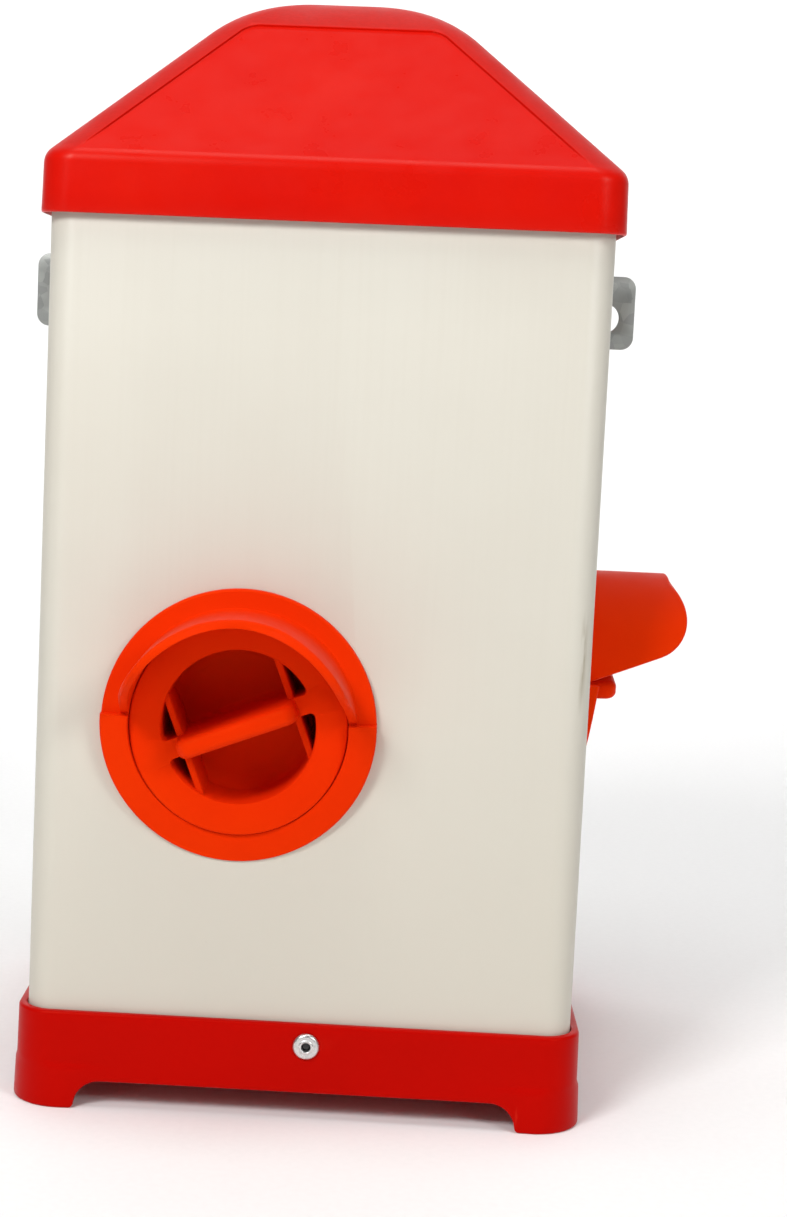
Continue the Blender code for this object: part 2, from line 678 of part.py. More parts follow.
remove_old_objects()
PARTS = new_collection("poultry_feeder")
CUTTERS = new_collection("poultry_feeder_cutters")
MATERIALS = {
    "cream": plain_material("cream_plastic", CREAM, 0.42),
    "lid": plain_material("red_lid_plastic", RED, 0.38),
    "base": plain_material("red_base_plastic", RED, 0.38),
    "port": plain_material("orange_port_plastic", ORANGE, 0.34),
    "rubber": plain_material("black_rubber", (0.02, 0.02, 0.02, 1), 0.7),
    "aluminium": plain_material("rivet_aluminium", (0.70, 0.70, 0.72, 1), 0.35, 1.0),
    "steel": plain_material("mandrel_steel", (0.20, 0.20, 0.20, 1), 0.45, 1.0),
    "zinc": plain_material("galvanised_steel", (0.55, 0.56, 0.57, 1), 0.45, 1.0),
}
feeder = empty("feeder_axis", (TUBE_X, TUBE_Y, 0))
hopper_body = make_tube(feeder)
make_lid(feeder)
base_pan = make_base(feeder)
make_port("front", (FRONT_PORT_OFFSET, -TUBE_HALF, FRONT_PORT_HEIGHT), 0, FRONT_PLUG_TURN, feeder, hopper_body)
make_port("side", (TUBE_HALF, SIDE_PORT_OFFSET, SIDE_PORT_HEIGHT), math.pi / 2, SIDE_PLUG_TURN, feeder, hopper_body)
make_base_rivets(feeder, base_pan, hopper_body)
make_strap(feeder, hopper_body)
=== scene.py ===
"""Gravity poultry feeder: fine surfaces, materials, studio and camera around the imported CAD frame.

Everything is in metres, +Z up, in the frame's own coordinates. Each port has a frame of its own
with X to the right, Y up and Z out of the wall, and each plug turns about that Z.
"""

import math

import bmesh
import bpy
from mathutils import Matrix, Vector


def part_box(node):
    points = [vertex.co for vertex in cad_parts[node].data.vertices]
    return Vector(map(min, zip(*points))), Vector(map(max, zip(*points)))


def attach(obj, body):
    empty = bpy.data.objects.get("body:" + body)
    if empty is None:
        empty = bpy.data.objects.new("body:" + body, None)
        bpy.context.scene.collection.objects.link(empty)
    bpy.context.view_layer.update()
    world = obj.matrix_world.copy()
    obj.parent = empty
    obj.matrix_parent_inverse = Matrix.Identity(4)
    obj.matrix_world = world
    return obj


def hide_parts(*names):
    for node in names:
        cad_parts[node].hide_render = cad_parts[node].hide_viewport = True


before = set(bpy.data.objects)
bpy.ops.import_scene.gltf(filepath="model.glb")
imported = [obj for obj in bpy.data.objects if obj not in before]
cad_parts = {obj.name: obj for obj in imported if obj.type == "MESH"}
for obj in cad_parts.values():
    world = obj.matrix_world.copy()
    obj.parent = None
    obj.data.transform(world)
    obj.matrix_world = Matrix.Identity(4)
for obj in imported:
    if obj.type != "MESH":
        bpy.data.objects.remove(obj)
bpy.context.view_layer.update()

# Places and sizes that the CAD nodes give
tube_low, tube_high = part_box("hopper_body")
lid_low, lid_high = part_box("roof_lid")
base_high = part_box("base_pan")[1]
strap_low, strap_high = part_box("hanging_strap")
TUBE_X = (tube_low.x + tube_high.x) / 2
TUBE_Y = (tube_low.y + tube_high.y) / 2
TUBE_HALF = (tube_high.x - tube_low.x) / 2
FEEDER = Matrix.Translation((TUBE_X, TUBE_Y, 0))
STILL = Matrix.Identity(4)
UPRIGHT = Matrix.Rotation(math.pi / 2, 4, "X")
QUARTER_TURN = Matrix.Rotation(math.pi / 2, 4, "Z")

# Walls and corners of the three square mouldings
TUBE_WALL = 0.0025
TUBE_CORNER = 0.0085
LID_WALL = 0.0022
LID_DRAFT = 0.0003
LID_CORNER = 0.0102
LID_TOP_CORNER = 0.0055
LID_CREASE = 0.2899
LID_CREASE_RADIUS = 0.0060
LID_SLOPE = math.radians(43.5)
LID_TOP_RADIUS = 0.0500
PANEL_INSET = 0.0089
PANEL_EDGE = 0.0010
PANEL_SINK = 0.0007
PANEL_TOP = 0.3355
PANEL_CORNER = 0.0035
PANEL_FADE = (-0.0010, 0.0090)
BASE_WALL_TOP_HALF = 0.0871
BASE_DRAFT = 0.0004
BASE_CORNER = 0.0112
BASE_FLARE = 0.0010
FOOT_CORNER = 0.0145
FLARE_TOP = 0.0146
FLARE_FULL = 0.0025
FLARE_REACH = 0.0300
SKIRT_LOW = 0.0086
FLOOR_LOW = 0.0105
FLOOR_TOP = 0.0130
ARCH_FLAT_HALF = 0.0600
ARCH_RADIUS = 0.0080
FOOT_ROUND = 0.0014
GAP = 0.0003

# Ports
FLANGE_RADIUS = 0.0418
FLANGE_UPPER = 0.0030
FLANGE_MIDDLE = 0.0060
FLANGE_FOOT = 0.0008
FLANGE_STEP = math.radians(3.55)
FLANGE_ROUND = 0.0009
HOOD_RADIUS = 0.0359
HOOD_TOP_REACH = 0.0307
HOOD_REACH = 0.0350
HOOD_NOSE_HEIGHT = 0.0245
HOOD_UPPER_RADIUS = 0.0120
HOOD_LOWER_RADIUS = 0.0135
HOOD_SWEEP = math.radians(21.5)
HOOD_BEVEL = 0.0009
MOUTH_RADIUS = 0.0333
MOUTH_DEPTH = 0.0025
SLEEVE_RADIUS = 0.0356
SLEEVE_BORE = 0.0322
SLEEVE_DEPTH = 0.0280
PORT_STEPS = 240
WALL_HOLE_RADIUS = 0.0361

# Plugs
PLUG_TURN = {"front": math.radians(21.4), "side": math.radians(7)}
PLUG_FACE = 0.0033
PLUG_RIM_RADIUS = 0.0331
PLUG_SKIRT_RADIUS = 0.0318
PLUG_SKIRT_INNER = 0.0279
PLUG_SKIRT_END = -0.0135
PLUG_FACE_THICKNESS = 0.0023
CUP_RADIUS = 0.0235
CUP_FLOOR_RADIUS = 0.0229
CUP_FLOOR = -0.0195
CUP_WALL = 0.0019
CUP_ROUND = 0.0045
SEAL_GROOVE_RADIUS = 0.0292
SEAL_GROOVE_TOP = -0.0060
SEAL_GROOVE_END = -0.0090
GRIP_HALF_WIDTH = 0.0030
GRIP_HALF_LENGTH = 0.0188
GRIP_TOP = 0.0145
GRIP_CORNER = 0.0040
GRIP_ROUND = 0.0022
GRIP_WALL = 0.0015
CROSS_WALL_PLACE = 0.0178
CROSS_WALL_HALF = 0.0010
CROSS_WALL_TOP = 0.0015

# Rivets and strap
RIVET_HOLE_RADIUS = 0.0023
RIVET_HEAD_RADIUS = 0.0041
RIVET_HEAD_HEIGHT = 0.0013
RIVET_SHANK_RADIUS = 0.0020
RIVET_BORE_RADIUS = 0.00135
RIVET_BULB_RADIUS = 0.0031
BASE_RIVET_GRIP = 0.00595
STRAP_RIVET_GRIP = 0.0064
STRAP_CORNER = 0.0045
STRAP_HOLE_RADIUS = 0.00535
STRAP_HOLE_SPACING = 0.2000
STRAP_HOLE_DROP = 0.0020
STRAP_EDGE = 0.00025

# Scuff on the front wall: middle and half size, as (X, Z)
SCUFF_MIDDLE = (0.0812, 0.1460)
SCUFF_HALF = (0.0012, 0.0170)

# Colours, and the tints of what the plastics mirror
CREAM_LIGHT = (0.665, 0.643, 0.568, 1)
CREAM_DEEP = (0.650, 0.619, 0.540, 1)
# darker cream: painted shade low on the tube, and also the colour of the die lines
CREAM_SHADE_AND_LINES = (0.605, 0.571, 0.490, 1)
SPECK = (0.42, 0.35, 0.26, 1)
SCUFF = (0.30, 0.25, 0.15, 1)
ZINC_LIGHT = (0.40, 0.41, 0.39, 1)
ZINC_DARK = (0.27, 0.28, 0.27, 1)
# painted shade for the roof's rounded hip bands
HIP_SHADE_RED = (0.50, 0.004, 0.001, 1)
LID_SHEEN = (1, 0.85, 0.72, 1)
RED_SHEEN = (1, 0.40, 0.20, 1)
ORANGE_SHEEN = (1, 0.45, 0.06, 1)


# ---------------------------------------------------------------- mesh helpers


def mesh_from(bm, name):
    bmesh.ops.recalc_face_normals(bm, faces=bm.faces[:])
    mesh = bpy.data.meshes.new(name)
    bm.to_mesh(mesh)
    bm.free()
    return mesh


def loft(name, rings, cap_first=False, cap_last=False, closed=False):
    """Skin a stack of rings with equal point counts; closed joins the last ring to the first."""
    bm = bmesh.new()
    rows = [[bm.verts.new(point) for point in ring] for ring in rings]
    pairs = list(zip(rows, rows[1:]))
    if closed:
        pairs.append((rows[-1], rows[0]))
    for low, high in pairs:
        for index, vertex in enumerate(low):
            after = (index + 1) % len(low)
            bm.faces.new((vertex, low[after], high[after], high[index]))
    if cap_first:
        bm.faces.new(reversed(rows[0]))
    if cap_last:
        bm.faces.new(rows[-1])
    bmesh.ops.remove_doubles(bm, verts=bm.verts[:], dist=0.000002)
    bmesh.ops.dissolve_degenerate(bm, edges=bm.edges[:], dist=0.000002)
    return mesh_from(bm, name)


def arc(centre, radius, start, end, steps):
    """Points on an arc, both ends included."""
    points = []
    for index in range(steps + 1):
        angle = start + (end - start) * index / steps
        points.append((centre[0] + radius * math.cos(angle), centre[1] + radius * math.sin(angle)))
    return points


def quarter_round(radius, steps):
    """(in, down) along a quarter round that turns from a wall on to its top face, both ends included."""
    turns = [math.pi / 2 * step / steps for step in range(steps + 1)]
    return [(radius * (1 - math.cos(turn)), radius * (1 - math.sin(turn))) for turn in turns]


def turned(name, profile, segments):
    """Turn an open profile of (radius, height) that starts and ends on the axis, or a closed loop."""
    bm = bmesh.new()
    rows = []
    for index in range(segments):
        angle = 2 * math.pi * index / segments
        rows.append([bm.verts.new((r * math.cos(angle), r * math.sin(angle), z)) for r, z in profile])
    on_axis = profile[0][0] == 0
    count = len(profile) - 1 if on_axis else len(profile)
    for index, row in enumerate(rows):
        after = rows[(index + 1) % segments]
        for low in range(count):
            high = (low + 1) % len(profile)
            bm.faces.new((row[low], after[low], after[high], row[high]))
    bmesh.ops.remove_doubles(bm, verts=bm.verts[:], dist=0.000002)
    bmesh.ops.dissolve_degenerate(bm, edges=bm.edges[:], dist=0.000002)
    return mesh_from(bm, name)


def cylinder(name, radius, low, high, steps):
    circle = arc((0, 0), radius, 0, 2 * math.pi * (steps - 1) / steps, steps - 1)
    return loft(name, [[(x, y, level) for x, y in circle] for level in (low, high)], True, True)


def placed(name, data, place):
    """New object in the scene with this mesh, curve, light or camera."""
    holder = bpy.data.objects.new(name, data)
    holder.matrix_world = place
    bpy.context.scene.collection.objects.link(holder)
    return holder


def evaluated(holder, tools=()):
    """Mesh of an object after its modifiers; the object and its tools are removed."""
    bpy.context.view_layer.update()
    mesh = bpy.data.meshes.new_from_object(holder.evaluated_get(bpy.context.evaluated_depsgraph_get()))
    for used in (holder, *tools):
        bpy.data.objects.remove(used, do_unlink=True)
    return mesh


def combined(name, mesh, steps):
    """A mesh after a row of Boolean steps, each (tool mesh, operation, place)."""
    body = placed(name, mesh, STILL)
    tools = []
    for tool_mesh, operation, place in steps:
        modifier = body.modifiers.new("step", "BOOLEAN")
        modifier.object = placed(name + "_tool", tool_mesh, place)
        modifier.operation = operation
        tools.append(modifier.object)
    return evaluated(body, tools)


def piece(name, mesh, material, body, nodes, place, sharp=38):
    """Make a shaded piece that rides on a body and stands for CAD nodes."""
    mesh.materials.clear()
    mesh.materials.append(material)
    mesh.shade_smooth()
    mesh.set_sharp_from_angle(angle=math.radians(sharp))
    result = placed(name, mesh, place)
    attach(result, body)
    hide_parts(*nodes)


def ease(low, high, value):
    """0 below low, 1 above high and smooth between them."""
    share = min(1.0, max(0.0, (value - low) / (high - low)))
    return share * share * (3 - 2 * share)


# ------------------------------------------------------------------- materials


class Nodes:
    """Short way to build one Principled material's node tree."""

    def __init__(self, name, roughness, metallic=0.0, specular=0.5):
        self.material = bpy.data.materials.new(name)
        self.material.use_nodes = True
        self.tree = self.material.node_tree
        self.shader = self.tree.nodes["Principled BSDF"]
        self.shader.inputs["Roughness"].default_value = roughness
        self.shader.inputs["Metallic"].default_value = metallic
        self.shader.inputs["Specular IOR Level"].default_value = specular
        self.place = self.tree.nodes.new("ShaderNodeTexCoord").outputs["Object"]

    def link(self, source, target):
        self.tree.links.new(source, target)

    def stretched(self, scale):
        """Object coordinates scaled by axis, for streaks."""
        mapping = self.tree.nodes.new("ShaderNodeMapping")
        mapping.inputs["Scale"].default_value = scale
        self.link(self.place, mapping.inputs["Vector"])
        return mapping.outputs["Vector"]

    def noise(self, scale, detail=2.0, roughness=0.5, place=None):
        noise = self.tree.nodes.new("ShaderNodeTexNoise")
        noise.inputs["Scale"].default_value = scale
        noise.inputs["Detail"].default_value = detail
        noise.inputs["Roughness"].default_value = roughness
        self.link(place or self.place, noise.inputs["Vector"])
        return noise.outputs["Fac"]

    def spots(self, scale, size, place=None):
        """1 in small round spots scattered through space, 0 elsewhere."""
        voronoi = self.tree.nodes.new("ShaderNodeTexVoronoi")
        voronoi.inputs["Scale"].default_value = scale
        self.link(place or self.place, voronoi.inputs["Vector"])
        return self.remap(voronoi.outputs["Distance"], size * 0.6, size, 1, 0)

    def remap(self, source, low, high, to_low, to_high):
        remap = self.tree.nodes.new("ShaderNodeMapRange")
        remap.inputs["From Min"].default_value = low
        remap.inputs["From Max"].default_value = high
        remap.inputs["To Min"].default_value = to_low
        remap.inputs["To Max"].default_value = to_high
        self.link(source, remap.inputs["Value"])
        return remap.outputs["Result"]

    def math(self, operation, a, b=0.0):
        node = self.tree.nodes.new("ShaderNodeMath")
        node.operation = operation
        for socket, value in zip(node.inputs, (a, b)):
            if isinstance(value, (int, float)):
                socket.default_value = value
            else:
                self.link(value, socket)
        return node.outputs["Value"]

    def mix(self, share, a, b):
        """Colour a where share is 0, colour b where it is 1."""
        node = self.tree.nodes.new("ShaderNodeMix")
        node.data_type = "RGBA"
        self.link(share, node.inputs["Factor"])
        for socket, value in ((node.inputs["A"], a), (node.inputs["B"], b)):
            if isinstance(value, tuple):
                socket.default_value = value
            else:
                self.link(value, socket)
        return node.outputs["Result"]

    def edges(self, low, high):
        """1 along worn convex edges, 0 on flat faces."""
        geometry = self.tree.nodes.new("ShaderNodeNewGeometry")
        return self.remap(geometry.outputs["Pointiness"], low, high, 0, 1)

    def axis(self, name):
        split = self.tree.nodes.new("ShaderNodeSeparateXYZ")
        self.link(self.place, split.inputs["Vector"])
        return split.outputs[name]

    def near(self, name, centre, reach):
        """1 where one coordinate is at the centre, falling to 0 at the reach to either side."""
        away = self.math("ABSOLUTE", self.math("SUBTRACT", self.axis(name), centre))
        return self.remap(away, 0, reach, 1, 0)

    def hip_band(self):
        """1 on the roof's hips and on its top above the panels, 0 on the panels and the rim."""
        across = self.math("ABSOLUTE", self.axis("X"))
        along = self.math("ABSOLUTE", self.axis("Y"))
        from_hip = self.math("ABSOLUTE", self.math("SUBTRACT", across, along))
        hips = self.remap(from_hip, PANEL_INSET - 0.0006, PANEL_INSET + 0.0006, 1, 0)
        top = self.remap(self.axis("Z"), PANEL_TOP, PANEL_TOP + 0.0008, 0, 1)
        above_rim = self.remap(self.axis("Z"), LID_CREASE - 0.001, LID_CREASE + 0.003, 0, 1)
        return self.math("MULTIPLY", self.math("MAXIMUM", hips, top), above_rim)

    def bump(self, height, strength, distance, after=None):
        bump = self.tree.nodes.new("ShaderNodeBump")
        bump.inputs["Strength"].default_value = strength
        bump.inputs["Distance"].default_value = distance
        self.link(height, bump.inputs["Height"])
        if after is not None:
            self.link(after, bump.inputs["Normal"])
        return bump.outputs["Normal"]

    def finish(self, colour, roughness=None, normal=None):
        self.link(colour, self.shader.inputs["Base Color"])
        if roughness is not None:
            self.link(roughness, self.shader.inputs["Roughness"])
        if normal is not None:
            self.link(normal, self.shader.inputs["Normal"])
        return self.material


def moulded_plastic(name, colour, deep, worn, roughness, specular, tint, rub=0.35, hips=False):
    """Injection-moulded plastic: cloudy pigment, fine orange peel, faint rubbed edges and dust.

    hips adds the roof's hip bands: duller and grainier, with painted shade that darkens them.
    """
    n = Nodes(name, roughness, specular=specular)
    n.shader.inputs["Specular Tint"].default_value = tint
    cloud = n.remap(n.noise(22, 3), 0.35, 0.65, 0, 1)
    body = n.mix(cloud, colour, deep)
    if rub:
        rubbed = n.math("MULTIPLY", n.edges(0.53, 0.62), n.remap(n.noise(260, 4), 0.3, 0.7, rub * 0.5, rub))
        body = n.mix(rubbed, body, worn)
    dust = n.math("MULTIPLY", n.spots(310, 0.06), n.remap(n.noise(40, 2), 0.5, 0.7, 0, 0.30))
    body = n.mix(dust, body, worn)
    gloss = n.remap(n.noise(75, 4, 0.6), 0.3, 0.7, roughness - 0.05, roughness + 0.07)
    peel = n.bump(n.noise(1500, 2), 0.05, 0.00003)
    if hips:
        band = n.hip_band()
        speckle = n.remap(n.noise(700, 3), 0.3, 0.7, 0.55, 0.95)
        # painted shade on the hip bands, broken by a random speckle
        body = n.mix(n.math("MULTIPLY", band, speckle), body, HIP_SHADE_RED)
        gloss = n.math("ADD", gloss, n.math("MULTIPLY", band, 0.15))
        peel = n.bump(n.math("MULTIPLY", band, n.noise(900, 3)), 0.35, 0.0001, peel)
    flow = n.bump(n.noise(18, 1), 0.10, 0.0004, peel)
    return n.finish(body, gloss, flow)


def extruded_cream():
    """Cream extruded tube: painted shade darker towards the bottom, faint die lines up the wall, small
    specks and a light brown scuff.
    """
    n = Nodes("cream_plastic", 0.40, specular=0.4)
    cloud = n.remap(n.noise(9, 3), 0.35, 0.65, 0, 1)
    body = n.mix(cloud, CREAM_LIGHT, CREAM_DEEP)
    # painted shade: the wall darkens towards the bottom, where less light falls
    low = n.remap(n.axis("Z"), 0.03, 0.28, 1, 0)
    body = n.mix(low, body, CREAM_SHADE_AND_LINES)
    lines = n.noise(40, 3, place=n.stretched((14, 14, 0.25)))
    body = n.mix(n.remap(lines, 0.45, 0.75, 0, 0.16), body, CREAM_SHADE_AND_LINES)
    specks = n.math("MULTIPLY", n.spots(120, 0.045), n.remap(n.noise(60, 2), 0.56, 0.66, 0, 0.55))
    body = n.mix(specks, body, SPECK)
    across, along = [n.near(*place) for place in zip("XZ", SCUFF_MIDDLE, SCUFF_HALF)]
    front_wall = n.remap(n.axis("Y"), -0.080, -0.078, 1, 0)
    streak = n.math("MULTIPLY", n.math("MULTIPLY", across, along), front_wall)
    grain = n.remap(n.noise(500, 3, place=n.stretched((1, 1, 0.15))), 0.42, 0.58, 0, 0.9)
    body = n.mix(n.math("MULTIPLY", streak, grain), body, SCUFF)
    gloss = n.remap(n.noise(50, 4, 0.6), 0.3, 0.7, 0.36, 0.47)
    peel = n.bump(n.noise(1100, 2), 0.05, 0.00003)
    ribs = n.bump(lines, 0.06, 0.0003, peel)
    wave = n.bump(n.noise(7, 1), 0.25, 0.0008, ribs)
    return n.finish(body, gloss, wave)


def metal(name, light, dark, roughness):
    """Metal with patches of two tones, a fine grain and dull spots."""
    n = Nodes(name, roughness, metallic=1.0)
    patches = n.remap(n.noise(900, 4, 0.6), 0.35, 0.65, 0, 1)
    body = n.mix(patches, light, dark)
    grain = n.noise(600, 3)
    gloss = n.remap(grain, 0.3, 0.7, roughness - 0.08, roughness + 0.14)
    relief = n.bump(grain, 0.12, 0.00005)
    return n.finish(body, gloss, relief)


def galvanised(name):
    """Zinc coating with flat crystal spangles of slightly different greys."""
    n = Nodes(name, 0.45, metallic=1.0)
    voronoi = n.tree.nodes.new("ShaderNodeTexVoronoi")
    voronoi.inputs["Scale"].default_value = 260
    n.link(n.place, voronoi.inputs["Vector"])
    tone = n.remap(voronoi.outputs["Color"], 0, 1, 0, 1)
    body = n.mix(tone, ZINC_LIGHT, ZINC_DARK)
    dull = n.remap(n.noise(90, 4), 0.35, 0.7, 0.38, 0.58)
    relief = n.bump(tone, 0.08, 0.00005)
    return n.finish(body, dull, relief)


def rubber(name):
    n = Nodes(name, 0.65, specular=0.3)
    bloom = n.remap(n.noise(120, 4), 0.4, 0.7, 0, 1)
    body = n.mix(bloom, (0.018, 0.018, 0.018, 1), (0.040, 0.039, 0.037, 1))
    gloss = n.remap(n.noise(300, 3), 0.3, 0.7, 0.58, 0.75)
    return n.finish(body, gloss, n.bump(n.noise(900, 3), 0.2, 0.00004))


cream = extruded_cream()
lid_red = moulded_plastic(
    "red_lid_plastic", (0.64, 0.006, 0.001, 1), (0.61, 0.004, 0.001, 1), (0.78, 0.05, 0.03, 1),
    roughness=0.30, specular=0.14, tint=LID_SHEEN, hips=True)
base_red = moulded_plastic(
    "red_base_plastic", (0.49, 0.002, 0.001, 1), (0.46, 0.002, 0.001, 1), (0.72, 0.04, 0.02, 1),
    roughness=0.34, specular=0.07, tint=RED_SHEEN)
port_orange = moulded_plastic(
    "orange_port_plastic", (0.77, 0.030, 0.001, 1), (0.74, 0.025, 0.001, 1), (0.95, 0.13, 0.015, 1),
    roughness=0.46, specular=0.06, tint=ORANGE_SHEEN, rub=0)
black_rubber = rubber("black_rubber")
aluminium = metal("rivet_aluminium", (0.78, 0.78, 0.77, 1), (0.62, 0.62, 0.61, 1), 0.30)
dark_steel = metal("mandrel_steel", (0.10, 0.10, 0.10, 1), (0.05, 0.05, 0.05, 1), 0.55)
zinc = galvanised("galvanised_steel")


# ------------------------------------------------------------- square mouldings


def square_point(half, radius, station, spread=0.0):
    """(along, out) on one side of a rounded square at a station on its straight or its corner.

    A station is ("side", distance from the middle) or ("corner", angle past the straight's end).
    """
    kind, value = station
    if kind == "side":
        return value, half + spread
    turn = math.copysign(1, value)
    reach = radius + spread
    straight = half - radius
    return turn * (straight + reach * math.sin(abs(value))), straight + reach * math.cos(value)


def around(points):
    """Repeat one side's (along, out, height) points round all four sides."""
    ring = []
    for quarter in range(4):
        turn = quarter * math.pi / 2
        for along, out, height in points:
            ring.append((out * math.cos(turn) - along * math.sin(turn),
                         out * math.sin(turn) + along * math.cos(turn), height))
    return ring


def tube_stations(half, radius):
    """Stations along one side of the tube and up to the middle of its corners."""
    straight = half - radius
    turns = [math.pi / 4 * k / 10 for k in range(1, 11)]
    stations = [("corner", -turn) for turn in reversed(turns[:-1])]
    stations += [("side", -straight + 2 * straight * k / 6) for k in range(7)]
    return stations + [("corner", turn) for turn in turns]


def square_ring(half, radius, height):
    points = [square_point(half, radius, station) for station in tube_stations(half, radius)]
    return around([(along, out, height) for along, out in points])


def make_tube():
    edge = 0.0004
    inner_half = TUBE_HALF - TUBE_WALL
    inner_corner = TUBE_CORNER - TUBE_WALL
    low, high = tube_low.z, tube_high.z
    rings = [
        square_ring(TUBE_HALF - edge, TUBE_CORNER - edge, low),
        square_ring(TUBE_HALF, TUBE_CORNER, low + edge),
        square_ring(TUBE_HALF, TUBE_CORNER, high - edge),
        square_ring(TUBE_HALF - edge * 0.3, TUBE_CORNER - edge * 0.3, high - edge * 0.3),
        square_ring(TUBE_HALF - edge, TUBE_CORNER - edge, high),
        square_ring(inner_half + edge, inner_corner + edge, high),
        square_ring(inner_half, inner_corner, high - edge),
        square_ring(inner_half, inner_corner, low + edge),
        square_ring(inner_half + edge, inner_corner + edge, low),
    ]
    shell = loft("hopper_shell", rings, closed=True)
    hole = cylinder("wall_hole", WALL_HOLE_RADIUS, -0.02, 0.01, 96)
    steps = [(hole, "DIFFERENCE", FEEDER.inverted() @ place) for place in port_frames.values()]
    drill = cylinder("rivet_hole", RIVET_HOLE_RADIUS, -0.02, 0.01, 24)
    steps += [(drill, "DIFFERENCE", FEEDER.inverted() @ place) for place in rivet_frames.values()]
    shell = combined("hopper_shell", shell, steps)
    piece("hopper_shell", shell, cream, "feeder_body", ["hopper_body"], FEEDER)


def lid_profile():
    """Roof outline, where the bend's middle is across, and the panel's length up the slope.

    An outline point is (half width, height, distance up the slope), with None below the slope.
    """
    rim_half = (lid_high.x - lid_low.x) / 2
    crease_length = LID_CREASE_RADIUS * math.tan((math.pi / 2 - LID_SLOPE) / 2)
    crease = (rim_half - LID_DRAFT - LID_CREASE_RADIUS, LID_CREASE - crease_length)
    profile = [
        (rim_half - 0.0006, lid_low.z, None),
        (rim_half - 0.00015, lid_low.z + 0.0002, None),
        (rim_half, lid_low.z + 0.0007, None),
        (rim_half - LID_DRAFT / 2, (lid_low.z + crease[1]) / 2, None),
    ]
    profile += [(x, z, None) for x, z in arc(crease, LID_CREASE_RADIUS, 0, math.pi / 2 - LID_SLOPE, 8)]
    start_half, start_height = profile[-1][:2]
    end_height = lid_high.z - LID_TOP_RADIUS * (1 - math.cos(LID_SLOPE))
    slope_length = (end_height - start_height) / math.sin(LID_SLOPE)
    lengths = [0.0006, 0.0012, 0.0020]
    lengths += [0.0030 + (slope_length - 0.0030) * k / 12 for k in range(12)]
    for length in lengths:
        half = start_half - length * math.cos(LID_SLOPE)
        profile.append((half, start_height + length * math.sin(LID_SLOPE), length))
    bend_half = start_half - slope_length * math.cos(LID_SLOPE) - LID_TOP_RADIUS * math.sin(LID_SLOPE)
    bend_height = lid_high.z - LID_TOP_RADIUS
    # close steps where the panel's upper edge crosses the bend
    fine_turn = 0.18
    turns = [fine_turn * k / 24 for k in range(24)]
    turns += [fine_turn + (LID_SLOPE - fine_turn) * k / 20 for k in range(21)]
    for turn in turns:
        half = bend_half + LID_TOP_RADIUS * math.sin(LID_SLOPE - turn)
        height = bend_height + LID_TOP_RADIUS * math.cos(LID_SLOPE - turn)
        profile.append((half, height, slope_length + LID_TOP_RADIUS * turn))
    panel_turn = LID_SLOPE - math.acos((PANEL_TOP - bend_height) / LID_TOP_RADIUS)
    return profile, bend_half, slope_length + LID_TOP_RADIUS * panel_turn


def panel_depth(inset, distance, panel_length):
    """How far a roof point sinks: 0 on the hip bands and at the crease, 1 in the panel."""
    if distance is None:
        return 0.0
    from_hip = inset - PANEL_INSET
    from_top = panel_length - distance
    corner_x = max(PANEL_CORNER - from_hip, 0.0)
    corner_y = max(PANEL_CORNER - from_top, 0.0)
    depth = min(PANEL_CORNER - math.hypot(corner_x, corner_y), max(from_hip, from_top))
    return ease(0, PANEL_EDGE, depth) * ease(*PANEL_FADE, distance)


def lid_insets(half, radius):
    """Distances from the sharp corner, from the diagonal to the middle of the side."""
    diagonal = radius * (1 - math.sqrt(0.5))
    stop = PANEL_INSET + PANEL_CORNER + 0.0010
    scale = min(1.0, half / (stop * 2))
    stop *= scale
    start = (PANEL_INSET - 0.0004) * scale
    insets = [diagonal + (start - diagonal) * k / 9 for k in range(9)]
    insets += [start + PANEL_EDGE * 1.6 * scale * k / 7 for k in range(8)]
    after = insets[-1]
    insets += [after + (stop - after) * k / 7 for k in range(1, 8)]
    insets += [stop + (half - stop) * k / 7 for k in range(1, 8)]
    return insets


def make_lid():
    profile, top_half, panel_length = lid_profile()
    rim_half = profile[2][0]
    rings = []
    for half, height, distance in profile:
        share = (half - top_half) / (rim_half - top_half)
        radius = LID_TOP_CORNER + (LID_CORNER - LID_TOP_CORNER) * min(1.0, share)
        half_side = []
        for inset in lid_insets(half, radius):
            out = half
            if inset < radius:
                out = half - radius + math.sqrt(max(0.0, radius ** 2 - (radius - inset) ** 2))
            sunk = panel_depth(inset, distance, panel_length)
            bottom = half - PANEL_SINK / math.sin(LID_SLOPE)
            half_side.append((half - inset, out + (min(out, bottom) - out) * sunk))
        points = [(-along, out, height) for along, out in half_side[1:]]
        points += [(along, out, height) for along, out in reversed(half_side[:-1])]
        rings.append(around(points))
    last = rings[-1]
    for share in (0.55, 0.15):
        rings.append([(x * share, y * share, z) for x, y, z in last])
    shell = loft("roof_shell", rings, cap_last=True)
    holder = placed("roof_shell_raw", shell, STILL)
    wall = holder.modifiers.new("wall", "SOLIDIFY")
    wall.thickness = LID_WALL
    wall.offset = -1
    wall.use_even_offset = True
    piece("roof_shell", evaluated(holder), lid_red, "lid", ["roof_lid"], FEEDER, 50)


def skirt_height(along):
    """Height of the base's lower edge: an arch between two feet with a small round at each foot."""
    distance = abs(along)
    if distance <= ARCH_FLAT_HALF:
        return SKIRT_LOW
    side = ARCH_FLAT_HALF + ARCH_RADIUS
    if distance < side:
        curve = math.sqrt(ARCH_RADIUS ** 2 - (distance - ARCH_FLAT_HALF) ** 2)
        return max(FOOT_ROUND, SKIRT_LOW - ARCH_RADIUS + curve)
    if distance < side + FOOT_ROUND:
        return FOOT_ROUND - math.sqrt(FOOT_ROUND ** 2 - (FOOT_ROUND - (distance - side)) ** 2)
    return 0.0


